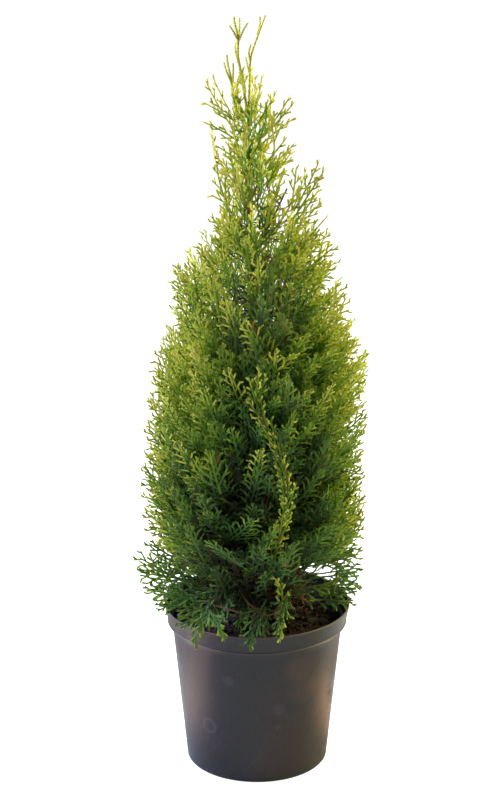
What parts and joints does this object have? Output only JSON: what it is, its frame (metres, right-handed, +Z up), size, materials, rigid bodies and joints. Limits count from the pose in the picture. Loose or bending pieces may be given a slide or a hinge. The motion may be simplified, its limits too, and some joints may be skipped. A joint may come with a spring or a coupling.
{
  "type": "potted thuja",
  "caption": "Young columnar thuja in a round plastic nursery pot: one trunk, bare inner boughs and a dense crown of flat upright sprays that ends in a double leader.",
  "frame": {"origin": "centre of the pot's flat underside", "axes": "+Z up along the pot's axis; -Y is the side that the plant shows to the front, +X to its right"},
  "size_m": [0.3118, 0.2975, 1.0295],
  "materials": {
    "pot": "charcoal black moulded plastic, softly glossy, dusty and scuffed",
    "soil": "moist dark peat compost with bark chips",
    "bark": "thin reddish brown fibrous bark",
    "foliage": "fresh green scale leaves with yellow green tips"
  },
  "bodies": {
    "root": {"bough_low_1": "bark", "bough_low_2": "bark", "bough_low_3": "bark", "bough_low_4": "bark", "bough_low_5": "bark", "bough_skirt_1": "bark", "bough_skirt_2": "bark", "bough_skirt_3": "bark", "bough_skirt_4": "bark", "bough_skirt_5": "bark", "bough_skirt_6": "bark", "bough_skirt_7": "bark", "foliage_belly_1": "foliage", "foliage_belly_2": "foliage", "foliage_belly_3": "foliage", "foliage_belly_4": "foliage", "foliage_belly_5": "foliage", "foliage_leader_1": "foliage", "foliage_low_1": "foliage", "foliage_low_2": "foliage", "foliage_low_3": "foliage", "foliage_low_4": "foliage", "foliage_low_5": "foliage", "foliage_neck_1": "foliage", "foliage_neck_2": "foliage", "foliage_neck_3": "foliage", "foliage_neck_4": "foliage", "foliage_shoulder_1": "foliage", "foliage_shoulder_2": "foliage", "foliage_shoulder_3": "foliage", "foliage_shoulder_4": "foliage", "foliage_skirt_1": "foliage", "foliage_skirt_2": "foliage", "foliage_skirt_3": "foliage", "foliage_skirt_4": "foliage", "foliage_skirt_5": "foliage", "foliage_skirt_6": "foliage", "foliage_skirt_7": "foliage", "foliage_throat_1": "foliage", "foliage_throat_2": "foliage", "foliage_throat_3": "foliage", "foliage_tuft_1": "foliage", "foliage_tuft_2": "foliage", "foliage_tuft_3": "foliage", "foliage_upper_1": "foliage", "foliage_upper_2": "foliage", "foliage_upper_3": "foliage", "foliage_upper_4": "foliage", "foliage_waist_1": "foliage", "foliage_waist_2": "foliage", "foliage_waist_3": "foliage", "foliage_waist_4": "foliage", "foliage_waist_5": "foliage", "pot": "pot", "soil": "soil", "trunk": "bark"}
  },
  "joints": []
}
